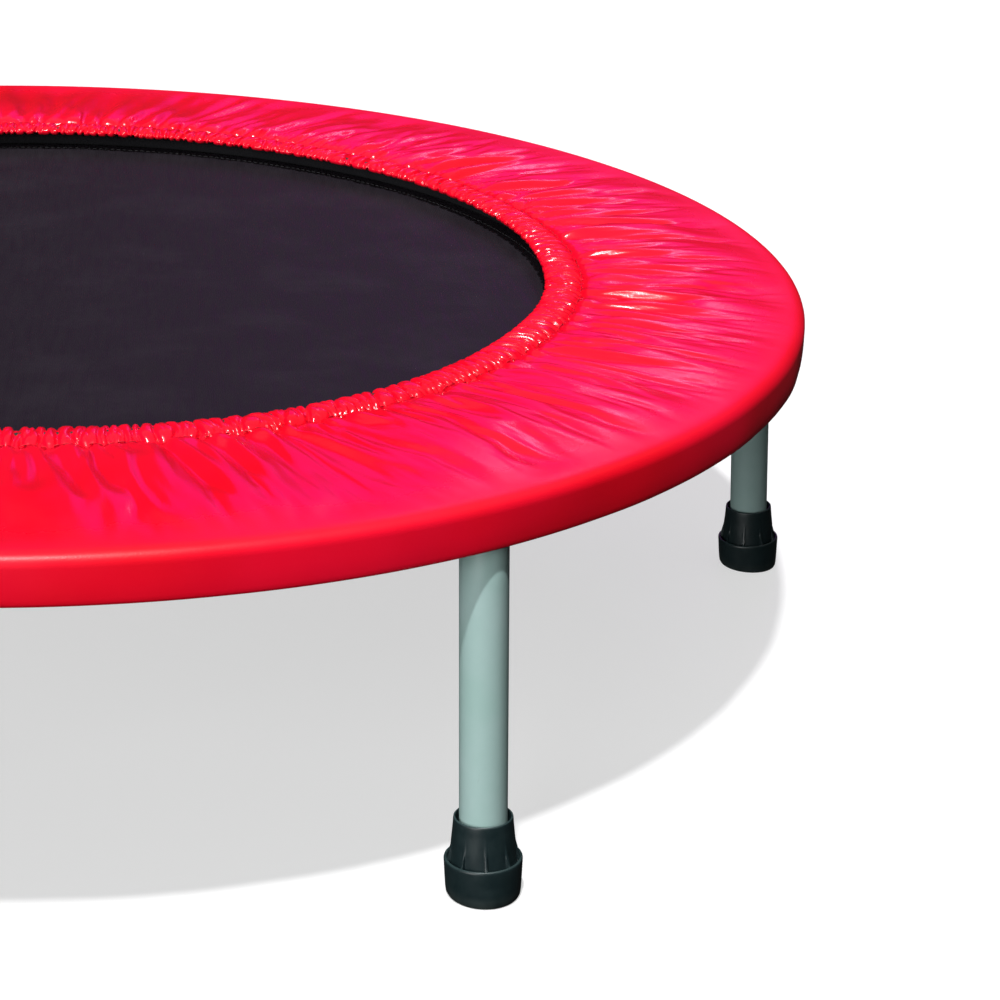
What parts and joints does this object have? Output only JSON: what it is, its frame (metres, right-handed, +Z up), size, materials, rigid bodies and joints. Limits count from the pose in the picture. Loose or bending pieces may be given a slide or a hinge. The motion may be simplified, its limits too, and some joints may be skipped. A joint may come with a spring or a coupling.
{
  "type": "mini trampoline",
  "caption": "Round mini trampoline: padded steel hoop on splayed screw-in tube legs with rubber feet, woven mat hung inside it on tension springs.",
  "frame": {"origin": "on the floor, under the middle of the mat", "axes": "+Z up, out of the mat; +X over one of the legs"},
  "size_m": [1.001, 0.966, 0.222],
  "materials": {
    "steel_coat": "satin",
    "zinc": "satin",
    "spring_wire": "satin",
    "foot_rubber": "matte",
    "mat_weave": "satin",
    "webbing": "matte",
    "cover_vinyl": "satin",
    "foam": "matte",
    "elastic_cord": "matte"
  },
  "bodies": {
    "frame": {"frame_ring": "steel_coat", "pad_cover": "cover_vinyl", "pad_foam": "foam", "inner_elastic": "elastic_cord", "spring_01": "spring_wire", "spring_02": "spring_wire", "spring_03": "spring_wire", "spring_04": "spring_wire", "spring_05": "spring_wire", "spring_06": "spring_wire", "spring_07": "spring_wire", "spring_08": "spring_wire", "spring_09": "spring_wire", "spring_10": "spring_wire", "spring_11": "spring_wire", "spring_12": "spring_wire", "spring_13": "spring_wire", "spring_14": "spring_wire", "spring_15": "spring_wire", "spring_16": "spring_wire", "spring_17": "spring_wire", "spring_18": "spring_wire", "spring_19": "spring_wire", "spring_20": "spring_wire", "spring_21": "spring_wire", "spring_22": "spring_wire", "spring_23": "spring_wire", "spring_24": "spring_wire", "spring_25": "spring_wire", "spring_26": "spring_wire", "spring_27": "spring_wire", "spring_28": "spring_wire", "spring_29": "spring_wire", "spring_30": "spring_wire"},
    "mat": {"mat": "mat_weave", "mat_edge_band": "webbing"},
    "washer_1": {"leg_washer_1": "zinc"},
    "leg_1": {"leg_tube_1": "steel_coat", "leg_stud_1": "zinc", "foot_tip_1": "foot_rubber"},
    "washer_2": {"leg_washer_2": "zinc"},
    "leg_2": {"leg_tube_2": "steel_coat", "leg_stud_2": "zinc", "foot_tip_2": "foot_rubber"},
    "washer_3": {"leg_washer_3": "zinc"},
    "leg_3": {"leg_tube_3": "steel_coat", "leg_stud_3": "zinc", "foot_tip_3": "foot_rubber"},
    "washer_4": {"leg_washer_4": "zinc"},
    "leg_4": {"leg_tube_4": "steel_coat", "leg_stud_4": "zinc", "foot_tip_4": "foot_rubber"},
    "washer_5": {"leg_washer_5": "zinc"},
    "leg_5": {"leg_tube_5": "steel_coat", "leg_stud_5": "zinc", "foot_tip_5": "foot_rubber"},
    "washer_6": {"leg_washer_6": "zinc"},
    "leg_6": {"leg_tube_6": "steel_coat", "leg_stud_6": "zinc", "foot_tip_6": "foot_rubber"}
  },
  "joints": [
    {"name": "mat_bounce", "type": "slide", "parent": "frame", "child": "mat", "axis": [0, 0, 1], "range_m": [-0.08, 0], "stiffness_N_per_m": 12000, "deforming": ["spring_01", "spring_02", "spring_03", "spring_04", "spring_05", "spring_06", "spring_07", "spring_08", "spring_09", "spring_10", "spring_11", "spring_12", "spring_13", "spring_14", "spring_15", "spring_16", "spring_17", "spring_18", "spring_19", "spring_20", "spring_21", "spring_22", "spring_23", "spring_24", "spring_25", "spring_26", "spring_27", "spring_28", "spring_29", "spring_30"]},
    {"name": "leg_1_travel", "type": "slide", "parent": "frame", "child": "washer_1", "axis": [0.0745, 0, -0.9972], "range_m": [0, 0.015]},
    {"name": "leg_1_unscrew", "type": "hinge", "parent": "washer_1", "child": "leg_1", "pos_m": [0.4659, 0, 0.205], "axis": [0.0745, 0, -0.9972], "range_deg": [0, 3600.5]},
    {"name": "leg_2_travel", "type": "slide", "parent": "frame", "child": "washer_2", "axis": [0.0372, 0.0645, -0.9972], "range_m": [0, 0.015]},
    {"name": "leg_2_unscrew", "type": "hinge", "parent": "washer_2", "child": "leg_2", "pos_m": [0.23295, 0.40348, 0.205], "axis": [0.0372, 0.0645, -0.9972], "range_deg": [0, 3600.5]},
    {"name": "leg_3_travel", "type": "slide", "parent": "frame", "child": "washer_3", "axis": [-0.0372, 0.0645, -0.9972], "range_m": [0, 0.015]},
    {"name": "leg_3_unscrew", "type": "hinge", "parent": "washer_3", "child": "leg_3", "pos_m": [-0.23295, 0.40348, 0.205], "axis": [-0.0372, 0.0645, -0.9972], "range_deg": [0, 3600.5]},
    {"name": "leg_4_travel", "type": "slide", "parent": "frame", "child": "washer_4", "axis": [-0.0745, 0, -0.9972], "range_m": [0, 0.015]},
    {"name": "leg_4_unscrew", "type": "hinge", "parent": "washer_4", "child": "leg_4", "pos_m": [-0.4659, 0, 0.205], "axis": [-0.0745, 0, -0.9972], "range_deg": [0, 3600.5]},
    {"name": "leg_5_travel", "type": "slide", "parent": "frame", "child": "washer_5", "axis": [-0.0372, -0.0645, -0.9972], "range_m": [0, 0.015]},
    {"name": "leg_5_unscrew", "type": "hinge", "parent": "washer_5", "child": "leg_5", "pos_m": [-0.23295, -0.40348, 0.205], "axis": [-0.0372, -0.0645, -0.9972], "range_deg": [0, 3600.5]},
    {"name": "leg_6_travel", "type": "slide", "parent": "frame", "child": "washer_6", "axis": [0.0372, -0.0645, -0.9972], "range_m": [0, 0.015]},
    {"name": "leg_6_unscrew", "type": "hinge", "parent": "washer_6", "child": "leg_6", "pos_m": [0.23295, -0.40348, 0.205], "axis": [0.0372, -0.0645, -0.9972], "range_deg": [0, 3600.5]}
  ],
  "couplings": [
    {"joint": "leg_1_unscrew", "follows": "leg_1_travel", "rad_per_m": 4188.8},
    {"joint": "leg_2_unscrew", "follows": "leg_2_travel", "rad_per_m": 4188.8},
    {"joint": "leg_3_unscrew", "follows": "leg_3_travel", "rad_per_m": 4188.8},
    {"joint": "leg_4_unscrew", "follows": "leg_4_travel", "rad_per_m": 4188.8},
    {"joint": "leg_5_unscrew", "follows": "leg_5_travel", "rad_per_m": 4188.8},
    {"joint": "leg_6_unscrew", "follows": "leg_6_travel", "rad_per_m": 4188.8}
  ]
}
